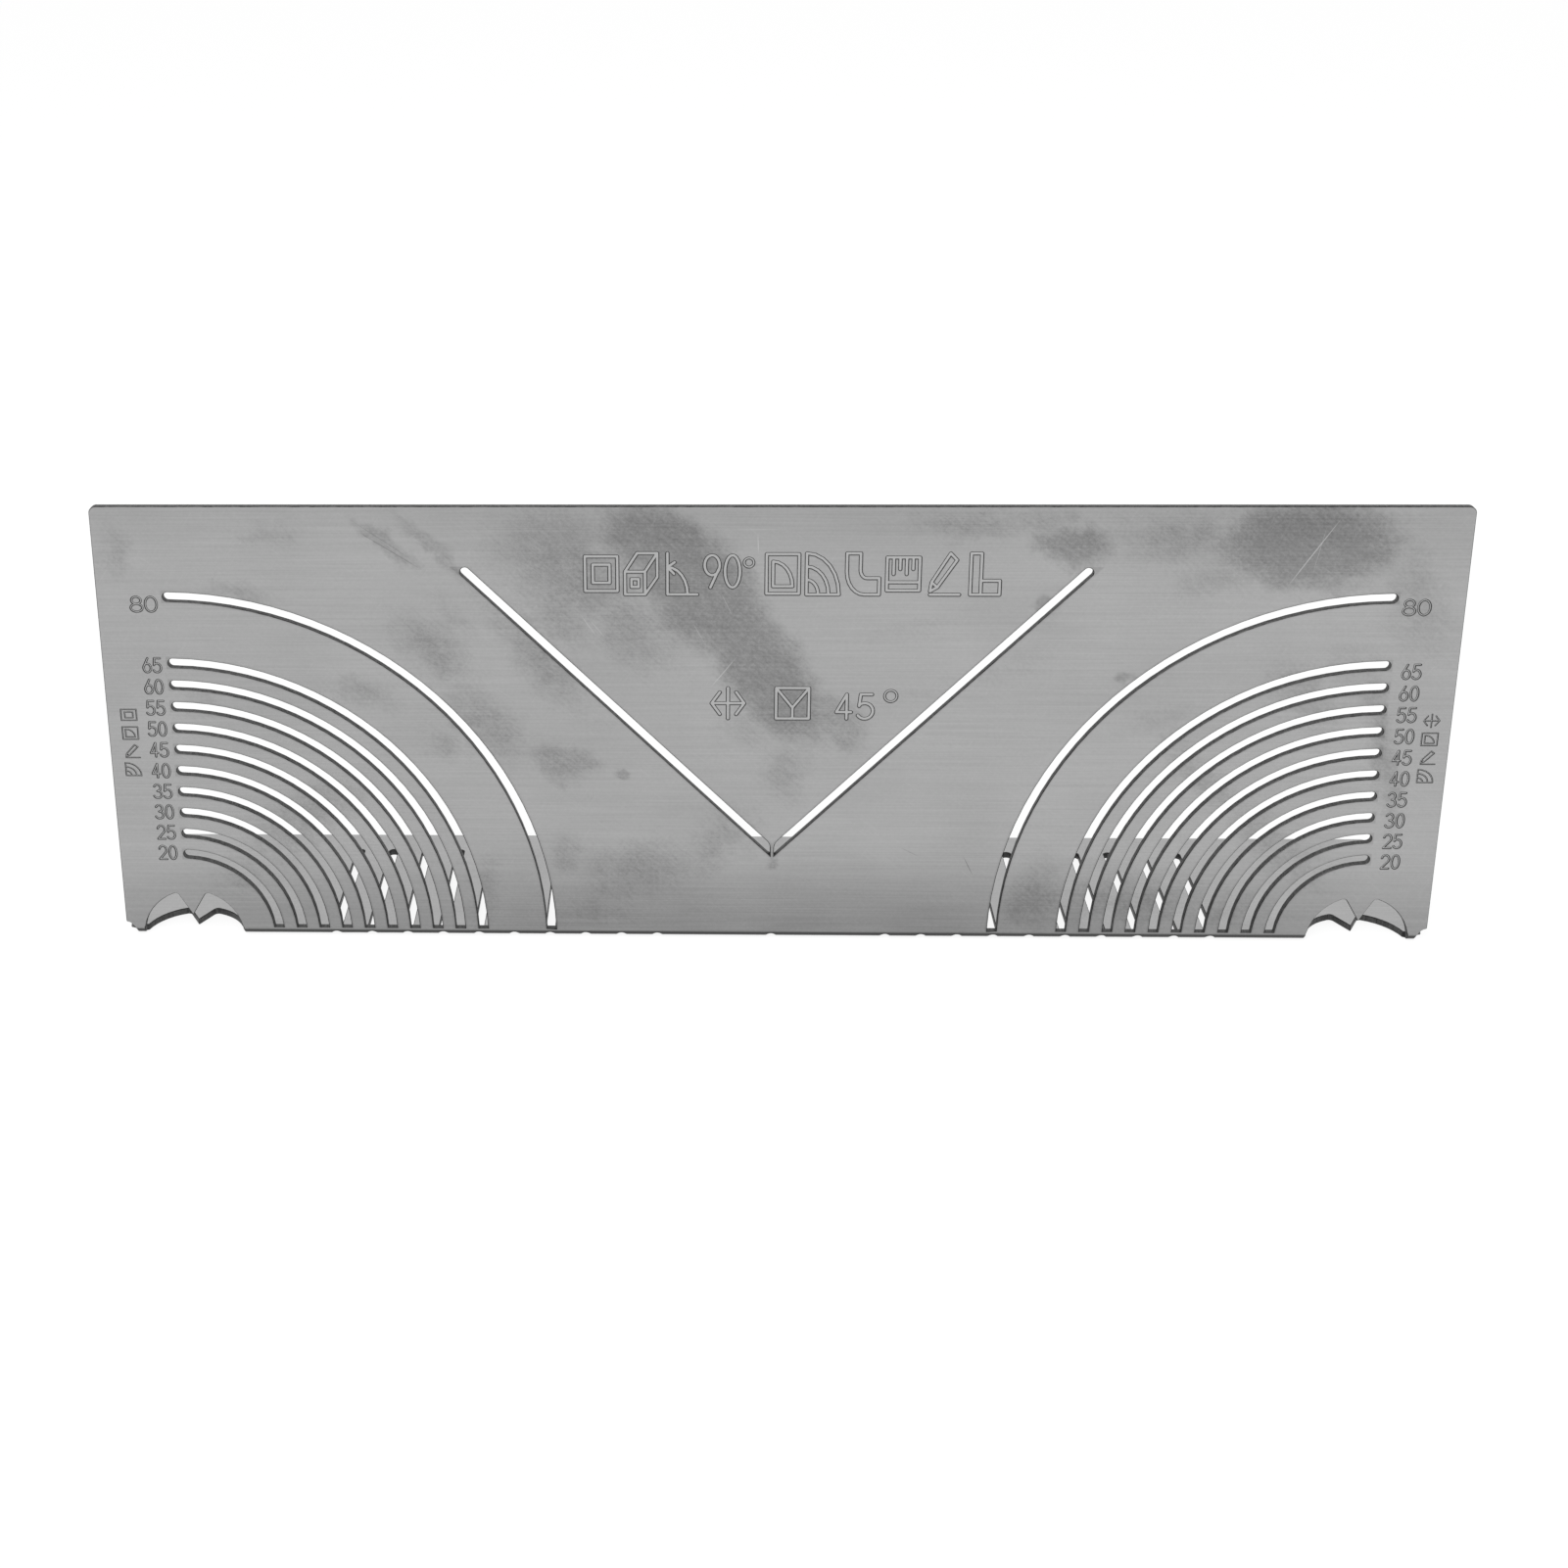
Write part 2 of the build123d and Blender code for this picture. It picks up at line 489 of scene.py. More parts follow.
@dataclass(frozen=True)
class RolledSkin:
    """Rolled stainless skin with grain, dull smudges, mottling, scratches and painted shade at fold
    and top.
    """

    name: str = "rolled_steel"
    front: float = -22.5 * MM
    clean: Grey = grey(0.44)
    # The darkest colour of soil and of painted shade alike.
    soiled: Grey = grey(0.17)
    scratched: Grey = grey(0.7)
    # Painted shadow: the near-black colour painted along the foot of the fold.
    creased: Grey = grey(0.045)
    stray: Pattern = Pattern((9.0, 9.0, 9.0), 3.0, 0.6)
    stray_reach: float = 10.0 * MM
    grain: Pattern = Pattern((26.0, 0.4, 0.3), 3.0)
    cloud: Pattern = Pattern((24.0, 24.0, 17.0), 3.0)
    blotch: Pattern = Pattern((4.5, 4.5, 4.0), 4.0, 0.6)
    speckle: Pattern = Pattern((0.7, 0.7, 0.7), 3.0, 0.7)
    wiped: Pattern = Pattern((2.6, 2.0, 0.6), 3.0, 0.6, -40)
    hairs: Pattern = Pattern((7.0, 2.0, 0.16), 1.0, lean=-37)
    cross_hairs: Pattern = Pattern((6.0, 2.0, 0.16), 1.0, lean=58)
    hair_band: Point = (0.62, 0.74)
    cross_hair_band: Point = (0.63, 0.75)
    back_band: Point = (front + 0.2 * MM, front + 0.6 * MM)
    back_cloud_band: Point = (0.4, 0.85)
    back_smudge: float = 0.55
    smudge_band: Point = (0.0, 1.15)
    ragged_blotch: float = 0.4
    ragged_wiped: float = 0.4
    ragged_speckle: float = 0.3
    # Heights over which the painted shadow along the fold fades out.
    crease_band: Point = (1.2 * MM, 1.95 * MM)
    past_fold_band: Point = (front + 1.9 * MM, front + 2.2 * MM)
    fold_radius: float = 2.0 * MM
    base_soil: float = 0.2
    smudge_soil: float = 0.52
    smudge_speckle: float = 0.4
    smudge_wiped: float = 0.3
    # Weight of the painted shade towards the fold and along the top.
    shade_soil: float = 0.5
    heat_soil: float = 0.24
    cloud_soil: float = 0.3
    speckle_soil: float = 0.2
    grain_soil: float = 0.34
    hairline_shine: float = 0.07
    scratch_share: float = 0.5
    hairline_relief: float = 0.5
    relief_strength: float = 0.15
    roughness: float = 0.3
    smudge_roughness: float = 0.14
    grain_roughness: float = 0.08
    patch_depth: float = 0.7 * MM
    patch_fade: float = 0.25
    arc_centre: float = 128.0 * MM
    arc_end: float = 128.4 * MM
    radius_step: float = 5.0 * MM
    middle_radius: float = 42.5 * MM
    step_reach: float = 25.0 * MM
    mitre_foot: float = 21.2 * MM
    mitre_top: float = 86.8 * MM
    tint_band: Point = (1.15 * MM, 1.6 * MM)
    far: float = 1.0

    def patches(self, bench: ShaderBench, place: Signal, patches: tuple[Patch, ...]) -> Signal:
        """Lay patches over each other, the strongest on top.

        Args:
            bench: The material's bench.
            place: The place on the object.
            patches: The patches.

        Returns:
            The strength of the strongest patch at each place.
        """
        ovals = []
        for patch in patches:
            size = (patch.half_length * MM, self.patch_depth, patch.half_width * MM)
            centre = (patch.x * MM, self.front, patch.z * MM)
            reach = bench.length(bench.mapped(place, size, centre, patch.lean))
            rim = (1.0 - patch.softness, 1.0 + self.patch_fade * patch.softness)
            ovals.append((1.0 - reach.step(*rim)) * patch.strength)
        return reduce(Signal.most, ovals)

    def heat(self, bench: ShaderBench, place: Signal) -> Signal:
        """Follow the laser's path along the arc and mitre slots.

        Args:
            bench: The material's bench.
            place: The place on the object.

        Returns:
            The heat tint, 1 beside a slot and 0 from a little further on.
        """
        out = abs(bench.along(place, "X"))
        up = bench.along(place, "Z")
        spoke = bench.node("ShaderNodeCombineXYZ", None, {"X": out - self.arc_centre, "Z": up})
        radius = bench.length(Signal(bench, spoke.outputs[0]))
        beyond_steps = abs(radius - self.middle_radius).above(self.step_reach)
        stepped = radius.off_step(self.radius_step) + beyond_steps * self.far
        arcs = stepped.least(abs(radius - LARGEST_RADIUS * MM))
        arcs = arcs + out.above(self.arc_end) * self.far
        mitre = abs(up - out - self.mitre_foot) * math.sqrt(0.5)
        mitre = mitre + up.above(self.mitre_top) * self.far
        return 1.0 - arcs.least(mitre).step(*self.tint_band)

    def material(self) -> bpy.types.Material:
        """Build the material.

        Returns:
            The finished material.
        """
        bench = ShaderBench(self.name)
        place = bench.place()
        grain = bench.noise(place, self.grain)
        cloud = bench.noise(place, self.cloud)
        blotch = bench.noise(place, self.blotch)
        speckle = bench.noise(place, self.speckle)
        wiped = bench.noise(place, self.wiped)
        hairs = bench.noise(place, self.hairs).step(*self.hair_band)
        cross_hairs = bench.noise(place, self.cross_hairs).step(*self.cross_hair_band)
        hairlines = hairs.most(cross_hairs)

        strayed = bench.strayed(place, self.stray, self.stray_reach)
        placed = self.patches(bench, strayed, HANDLING_SMUDGES)
        # Painted shade towards the fold and along the top.
        shade = self.patches(bench, place, (FOLD_SHADE, TOP_SHADE))
        depth = bench.along(place, "Y")
        behind = depth.step(*self.back_band)
        loose = cloud.step(*self.back_cloud_band) * behind * self.back_smudge
        ragged = (
            self.ragged_blotch * (blotch - 0.5)
            + self.ragged_wiped * (wiped - 0.5)
            + self.ragged_speckle * (speckle - 0.5)
        )
        smudge = (placed.most(loose) + ragged).step(*self.smudge_band)
        height = bench.along(place, "Z")
        # Painted shadow along the fold: the lowest part of the bend, in front of the leg, is
        # painted near black.
        past_fold = depth.step(*self.past_fold_band)
        fold_shadow = 1.0 - height.step(*self.crease_band).most(past_fold)
        on_plate = height.above(self.fold_radius)
        smudge_depth = (
            self.smudge_soil
            + self.smudge_speckle * (speckle - 0.5)
            + self.smudge_wiped * (wiped - 0.5)
        )
        # Soil and painted shade together darken the skin.
        soil_and_painted_shade = (
            self.base_soil
            + smudge * smudge_depth
            + self.shade_soil * shade
            + self.heat_soil * self.heat(bench, place) * on_plate
            + self.cloud_soil * (cloud - 0.5)
            + self.speckle_soil * (speckle - 0.5)
            + self.grain_soil * (grain - 0.5)
            - self.hairline_shine * hairlines
        )
        dark = self.patches(bench, place, DARK_SCRATCHES) * self.scratch_share
        light = self.patches(bench, place, LIGHT_SCRATCHES) * self.scratch_share
        skin = bench.blend(soil_and_painted_shade + dark, self.clean, self.soiled)
        # Lay the painted fold shadow over the skin.
        skin = bench.blend(fold_shadow, skin, self.creased)
        return bench.metal(
            bench.blend(light, skin, self.scratched),
            self.roughness + self.smudge_roughness * smudge + self.grain_roughness * (grain - 0.5),
            grain + self.hairline_relief * hairlines,
            self.relief_strength,
        )


@dataclass(frozen=True)
class CutWall:
    """Wall left by the laser: dark, matt and striped through the sheet."""

    name: str = "laser_cut_wall"
    dark: Grey = grey(0.04)
    light: Grey = grey(0.15)
    plate_stripe: Pattern = Pattern((0.22, 2.5, 0.22))
    leg_stripe: Pattern = Pattern((0.22, 0.22, 2.5))
    blot: Pattern = Pattern((3.0, 3.0, 3.0))
    leg_band: Point = (1.5 * MM, 2.0 * MM)
    stripe_share: float = 1.4
    blot_share: float = 0.6
    relief_strength: float = 0.3
    roughness: float = 0.45
    blot_roughness: float = 0.15

    def material(self) -> bpy.types.Material:
        """Build the material.

        Returns:
            The finished material.
        """
        bench = ShaderBench(self.name)
        place = bench.place()
        on_plate = bench.along(place, "Z").step(*self.leg_band)
        plate_stripes = bench.noise(place, self.plate_stripe)
        leg_stripes = bench.noise(place, self.leg_stripe)
        stripes = leg_stripes + on_plate * (plate_stripes - leg_stripes)
        blots = bench.noise(place, self.blot)
        share = (stripes - 0.5) * self.stripe_share + blots * self.blot_share
        return bench.metal(
            bench.blend(share, self.dark, self.light),
            self.roughness + self.blot_roughness * blots,
            stripes,
            self.relief_strength,
        )


@dataclass(frozen=True)
class BurntEdge:
    """Broken edges of the cuts and of the outline, darkened by the laser's heat."""

    name: str = "burnt_edge"
    dark: Grey = grey(0.022)
    light: Grey = grey(0.075)
    blot: Pattern = Pattern((1.6, 1.6, 1.6), 3.0, 0.6)
    blot_band: Point = (0.3, 0.7)
    roughness: float = 0.5
    blot_roughness: float = 0.2

    def material(self) -> bpy.types.Material:
        """Build the material.

        Returns:
            The finished material.
        """
        bench = ShaderBench(self.name)
        blots = bench.noise(bench.place(), self.blot)
        return bench.metal(
            bench.blend(blots.step(*self.blot_band), self.dark, self.light),
            self.roughness + self.blot_roughness * (blots - 0.5),
        )


@dataclass(frozen=True)
class GrooveFloor:
    """Floor of the engraved lines: bare, bright and slightly matt metal."""

    name: str = "groove_floor"
    level: float = 0.41
    light_share: float = 1.2
    blot: Pattern = Pattern((0.4, 0.4, 0.4))
    roughness: float = 0.42
    blot_roughness: float = 0.1

    def material(self) -> bpy.types.Material:
        """Build the material.

        Returns:
            The finished material.
        """
        bench = ShaderBench(self.name)
        blots = bench.noise(bench.place(), self.blot)
        return bench.metal(
            bench.blend(blots, grey(self.level), grey(self.level * self.light_share)),
            self.roughness + self.blot_roughness * blots,
        )


@dataclass(frozen=True)
class GrooveWall(GrooveFloor):
    """Sloping walls of the engraved lines, darkened by the laser."""

    name: str = "groove_wall"
    level: float = 0.055
    roughness: float = 0.5


# Engraved marks


@dataclass(frozen=True)
class Stroke:
    """One engraved line, by the points of its middle in a cell from 0 to 1 both ways."""

    points: tuple[Point, ...]
    closed: bool = False


def line(*points: Point) -> Stroke:
    """Return a stroke of straight runs."""
    return Stroke(points)


def bow(centre: Point, radii: Point, start: float, end: float) -> tuple[Point, ...]:
    """Return points along a part of an ellipse.

    Args:
        centre: The ellipse's centre.
        radii: Its radii across and up.
        start: The angle of the first point in degrees, from the right and counter-clockwise.
        end: The angle of the last point.

    Returns:
        The points, about one every BOW_STEP degrees.
    """
    count = max(2, round(abs(end - start) / BOW_STEP))
    angles = [math.radians(start + (end - start) * step / count) for step in range(count + 1)]
    return tuple(
        (centre[0] + radii[0] * math.cos(angle), centre[1] + radii[1] * math.sin(angle))
        for angle in angles
    )


def ring(centre: Point, radii: Point) -> Stroke:
    """Return a closed ellipse."""
    return Stroke(bow(centre, radii, 0, 360)[:-1], closed=True)


def frame_of(low: Point, high: Point) -> Stroke:
    """Return a closed upright rectangle."""
    return Stroke((low, (high[0], low[1]), high, (low[0], high[1])), closed=True)


DIGITS: dict[str, tuple[Stroke, ...]] = {
    "0": (ring((0.5, 0.5), (0.5, 0.5)),),
    "2": (Stroke(bow((0.5, 0.7), (0.5, 0.3), 165, -30) + ((0.0, 0.0), (1.0, 0.0))),),
    "3": (
        Stroke(bow((0.45, 0.76), (0.45, 0.24), 155, -90)),
        Stroke(bow((0.45, 0.26), (0.55, 0.26), 90, -155)),
    ),
    "4": (line((0.7, 0.0), (0.7, 1.0), (0.0, 0.27), (1.0, 0.27)),),
    "5": (
        Stroke(
            ((0.92, 1.0), (0.16, 1.0), (0.06, 0.52))
            + bow((0.44, 0.32), (0.56, 0.32), 125, -145)
        ),
    ),
    "6": (ring((0.5, 0.31), (0.5, 0.31)), line((0.05, 0.42), (0.62, 1.0))),
    "8": (ring((0.5, 0.76), (0.4, 0.24)), ring((0.5, 0.26), (0.5, 0.26))),
    "9": (ring((0.5, 0.69), (0.5, 0.31)), line((0.95, 0.58), (0.38, 0.0))),
}


class Sign(Enum):
    """Plain signs for a tube, its corner, its angles and the tools that mark it."""

    TUBE_END = "tube_end"
    TUBE_LENGTH = "tube_length"
    FOLD = "fold"
    CORNER_ARC = "corner_arc"
    RADII = "radii"
    BENT_TUBE = "bent_tube"
    RULE = "rule"
    SCRIBER = "scriber"
    TRY_SQUARE = "try_square"
    BOTH_WAYS = "both_ways"
    MITRE = "mitre"


SIGN_STROKES: dict[Sign, tuple[Stroke, ...]] = {
    Sign.TUBE_END: (
        frame_of((0.0, 0.08), (1.0, 0.92)),
        frame_of((0.24, 0.28), (0.76, 0.72)),
    ),
    Sign.TUBE_LENGTH: (
        frame_of((0.0, 0.0), (0.62, 0.55)),
        line((0.0, 0.55), (0.38, 1.0), (1.0, 1.0), (1.0, 0.42), (0.62, 0.0)),
        line((0.62, 0.55), (1.0, 1.0)),
        frame_of((0.2, 0.18), (0.42, 0.37)),
    ),
    Sign.FOLD: (
        line((0.08, 1.0), (0.08, 0.0), (1.0, 0.0)),
        Stroke(bow((0.08, 0.0), (0.62, 0.66), 90, 0)),
        line((0.3, 0.78), (0.08, 0.66), (0.28, 0.5)),
    ),
    Sign.CORNER_ARC: (
        frame_of((0.0, 0.02), (1.0, 0.98)),
        Stroke(bow((0.2, 0.2), (0.6, 0.6), 90, 0)),
        line((0.2, 0.8), (0.2, 0.2), (0.8, 0.2)),
    ),
    Sign.RADII: (
        Stroke(bow((0.0, 0.0), (1.0, 1.0), 90, 0)),
        Stroke(bow((0.0, 0.0), (0.68, 0.68), 90, 0)),
        Stroke(bow((0.0, 0.0), (0.36, 0.36), 90, 0)),
        line((0.0, 1.0), (0.0, 0.0), (1.0, 0.0)),
    ),
    Sign.BENT_TUBE: (
        Stroke(((0.0, 1.0),) + bow((0.55, 0.55), (0.55, 0.55), 180, 270) + ((1.0, 0.0),)),
        Stroke(((0.42, 1.0),) + bow((0.62, 0.6), (0.2, 0.2), 180, 270) + ((1.0, 0.4),)),
        line((0.0, 1.0), (0.42, 1.0)),
        line((1.0, 0.0), (1.0, 0.4)),
    ),
    Sign.RULE: (
        frame_of((0.0, 0.1), (1.0, 0.9)),
        line((0.2, 0.9), (0.2, 0.5)),
        line((0.4, 0.9), (0.4, 0.62)),
        line((0.6, 0.9), (0.6, 0.5)),
        line((0.8, 0.9), (0.8, 0.62)),
        line((0.0, 0.3), (1.0, 0.3)),
    ),
    Sign.SCRIBER: (
        line((0.7, 1.0), (0.14, 0.3), (0.1, 0.08), (0.32, 0.18), (0.9, 0.84), (0.7, 1.0)),
        line((0.14, 0.3), (0.32, 0.18)),
        line((0.1, 0.0), (1.0, 0.0)),
    ),
    Sign.TRY_SQUARE: (
        Stroke(
            ((0.1, 0.0), (0.1, 1.0), (0.42, 1.0), (0.42, 0.34), (1.0, 0.34), (1.0, 0.0)),
            closed=True,
        ),
        line((0.42, 0.34), (0.42, 0.0)),
    ),
    Sign.BOTH_WAYS: (
        line((0.0, 0.5), (1.0, 0.5)),
        line((0.25, 0.86), (0.0, 0.5), (0.25, 0.14)),
        line((0.75, 0.86), (1.0, 0.5), (0.75, 0.14)),
        line((0.5, 1.0), (0.5, 0.0)),
    ),
    Sign.MITRE: (
        frame_of((0.0, 0.0), (1.0, 1.0)),
        line((0.0, 1.0), (0.5, 0.36), (1.0, 1.0)),
        line((0.5, 0.36), (0.5, 0.0)),
    ),
}


@dataclass(frozen=True)
class Mark:
    """Strokes set in a box on the plate."""

    strokes: tuple[Stroke, ...]
    low: Point
    high: Point
    line_width: float


@dataclass(frozen=True)
class Cells:
    """A row of equal cells on the plate, in which shapes are set."""

    low: Point
    pitch: float
    size: Point

    def marks(self, shapes: Iterable[tuple[Stroke, ...]], line_width: float) -> list[Mark]:
        """Set shapes in the cells.

        Args:
            shapes: The strokes of each shape, from the left.
            line_width: The width of the lines.

        Returns:
            One mark for each shape.
        """
        marks = []
        for place, strokes in enumerate(shapes):
            left = self.low[0] + place * self.pitch
            high = (left + self.size[0], self.low[1] + self.size[1])
            marks.append(Mark(strokes, (left, self.low[1]), high, line_width))
        return marks


def digits(number: int) -> list[tuple[Stroke, ...]]:
    """Return the strokes of each of a number's digits."""
    return [DIGITS[digit] for digit in str(number)]


def strokes_of(signs: Iterable[Sign]) -> list[tuple[Stroke, ...]]:
    """Return the strokes of each sign."""
    return [SIGN_STROKES[sign] for sign in signs]


@dataclass
class Numbers:
    """The radii that are engraved beside the arc slots, in two columns."""

    digit_size: Point = (1.55 * MM, 3.2 * MM)
    largest_digit_size: Point = (2.45 * MM, 3.35 * MM)
    digit_gap: float = 0.62 * MM
    line_width: float = 0.55 * MM
    row_pitch_share: float = 0.982
    lowest_places: tuple[Point, ...] = ((-133.3 * MM, 20.3 * MM), (130.6 * MM, 19.45 * MM))
    largest_places: tuple[Point, ...] = ((-134.9 * MM, 78.35 * MM), (129.3 * MM, 78.0 * MM))

    def number(self, value: int, edge: float, height: float, size: Point) -> list[Mark]:
        """Set one number.

        Args:
            value: The number.
            edge: The left edge of its first digit.
            height: The height of its middle.
            size: The width and height of a digit.

        Returns:
            One mark for each digit.
        """
        cells = Cells((edge, height - size[1] / 2), size[0] + self.digit_gap, size)
        return cells.marks(digits(value), self.line_width)

    def marks(self) -> list[Mark]:
        """Set the digits of both columns.

        Returns:
            One mark for each digit.
        """
        marks = []
        for edge, lowest in self.lowest_places:
            for radius in STEPPED_RADII:
                rise = (radius - STEPPED_RADII[0]) * MM * self.row_pitch_share
                marks += self.number(radius, edge, lowest + rise, self.digit_size)
        for edge, height in self.largest_places:
            marks += self.number(LARGEST_RADIUS, edge, height, self.largest_digit_size)
        return marks


@dataclass
class TitleRows:
    """Two rows of signs in the middle of the plate, each with an angle among them."""

    line_width: float = 0.9 * MM
    degree_line_width: float = 0.66 * MM
    fold_angle: int = 90
    mitre_angle: int = 45
    before: Cells = Cells((-39.4 * MM, 80.7 * MM), 8.28 * MM, (6.7 * MM, 9.1 * MM))
    after: Cells = Cells((-1.8 * MM, 80.7 * MM), 8.28 * MM, (6.7 * MM, 9.1 * MM))
    upper_digits: Cells = Cells((-14.6 * MM, 82.25 * MM), 4.2 * MM, (3.1 * MM, 7.1 * MM))
    upper_degree: Cells = Cells((-6.45 * MM, 86.75 * MM), 0.0, (2.0 * MM, 2.0 * MM))
    lower: Cells = Cells((-13.1 * MM, 52.6 * MM), 13.6 * MM, (6.9 * MM, 7.0 * MM))
    lower_digits: Cells = Cells((13.2 * MM, 52.6 * MM), 4.6 * MM, (3.1 * MM, 5.6 * MM))
    lower_degree: Cells = Cells((23.27 * MM, 56.55 * MM), 0.0, (2.6 * MM, 2.6 * MM))

    def marks(self) -> list[Mark]:
        """Set the signs, digits and degree rings of both rows.

        Returns:
            One mark for each of them.
        """
        before = (Sign.TUBE_END, Sign.TUBE_LENGTH, Sign.FOLD)
        after = (
            Sign.CORNER_ARC,
            Sign.RADII,
            Sign.BENT_TUBE,
            Sign.RULE,
            Sign.SCRIBER,
            Sign.TRY_SQUARE,
        )
        rows = (
            (self.before, strokes_of(before)),
            (self.after, strokes_of(after)),
            (self.upper_digits, digits(self.fold_angle)),
            (self.lower, strokes_of((Sign.BOTH_WAYS, Sign.MITRE))),
            (self.lower_digits, digits(self.mitre_angle)),
        )
        marks = []
        for cells, shapes in rows:
            marks += cells.marks(shapes, self.line_width)
        degree = [(ring((0.5, 0.5), (0.5, 0.5)),)]
        for cells in (self.upper_degree, self.lower_degree):
            marks += cells.marks(degree, self.degree_line_width)
        return marks


@dataclass
class SideSigns:
    """Small signs in a column beside each column of radii."""

    line_width: float = 0.36 * MM
    size: Point = (3.3 * MM, 3.0 * MM)
    pitch: float = 4.25 * MM
    left_foot: Point = (-139.0 * MM, 38.8 * MM)
    right_foot: Point = (136.1 * MM, 38.3 * MM)

    def marks(self) -> list[Mark]:
        """Set the signs of both columns.

        Returns:
            One mark for each sign.
        """
        shared = (Sign.RADII, Sign.SCRIBER, Sign.CORNER_ARC)
        columns = (
            (self.left_foot, shared + (Sign.TUBE_END,)),
            (self.right_foot, shared + (Sign.BOTH_WAYS,)),
        )
        marks = []
        for (edge, base), signs in columns:
            for row, sign in enumerate(signs):
                cell = Cells((edge, base + row * self.pitch), 0.0, self.size)
                marks += cell.marks(strokes_of([sign]), self.line_width)
        return marks


# The sheet


def select_only(piece: bpy.types.Object) -> None:
    """Make a piece the only selected one, and the active one.

    Args:
        piece: The piece.
    """
    bpy.ops.object.select_all(action="DESELECT")
    piece.select_set(True)
    bpy.context.view_layer.objects.active = piece


def put_in_scene(name: str, data: bpy.types.ID) -> bpy.types.Object:
    """Make an object of its data and link it to the scene.

    Args:
        name: The object's name.
        data: The mesh, curve, lamp or camera.

    Returns:
        The object.
    """
    piece = bpy.data.objects.new(name, data)
    bpy.context.scene.collection.objects.link(piece)
    return piece


def add_run(data: bpy.types.Curve, points: tuple[Point, ...], closed: bool) -> None:
    """Add a run of straight lines to a curve.

    Args:
        data: The curve.
        points: The corners of the run.
        closed: Whether it returns to its first corner.
    """
    spline = data.splines.new("POLY")
    spline.points.add(len(points) - 1)
    for corner, (across, up) in zip(spline.points, points):
        corner.co = (across, up, 0.0, 1.0)
    spline.use_cyclic_u = closed


def apply_modifier(piece: bpy.types.Object, kind: str, **settings: object) -> None:
    """Add a modifier and apply it.

    Args:
        piece: The piece that it works on.
        kind: The modifier's type.
        **settings: The modifier's settings.
    """
    select_only(piece)
    modifier = piece.modifiers.new(kind.lower(), kind)
    for name, value in settings.items():
        setattr(modifier, name, value)
    bpy.ops.object.modifier_apply(modifier=modifier.name)


@contextmanager
def editing(piece: bpy.types.Object) -> Iterator[None]:
    """Hold a piece in edit mode, with all of it selected.

    Args:
        piece: The piece to be edited.

    Yields:
        Nothing.
    """
    select_only(piece)
    bpy.ops.object.mode_set(mode="EDIT")
    bpy.ops.mesh.select_all(action="SELECT")
    yield
    bpy.ops.object.mode_set(mode="OBJECT")


def share_materials(source: bpy.types.Object, piece: bpy.types.Object) -> None:
    """Give a piece the material slots of another, before its faces are sorted into them.

    Args:
        source: The piece that has the materials.
        piece: The piece that gets them.
    """
    piece.data.materials.clear()
    for material in source.data.materials:
        piece.data.materials.append(material)


def repeated(pattern: bpy.types.Object, places: list[Triple]) -> bpy.types.Object:
    """Set copies of a pattern at several places and join them.

    Args:
        pattern: The pattern, which becomes the first copy.
        places: Where the copies go.

    Returns:
        The joined copies.
    """
    select_only(pattern)
    for place in places[1:]:
        copy = put_in_scene(pattern.name, pattern.data.copy())
        copy.data.transform(Matrix.Translation(place))
        copy.select_set(True)
    pattern.data.transform(Matrix.Translation(places[0]))
    if len(places) > 1:
        bpy.ops.object.join()
    return pattern


class Face(Enum):
    """Material slots of the sheet."""

    SKIN = 0
    WALL = 1
    GROOVE_FLOOR = 2
    GROOVE_WALL = 3
    EDGE = 4


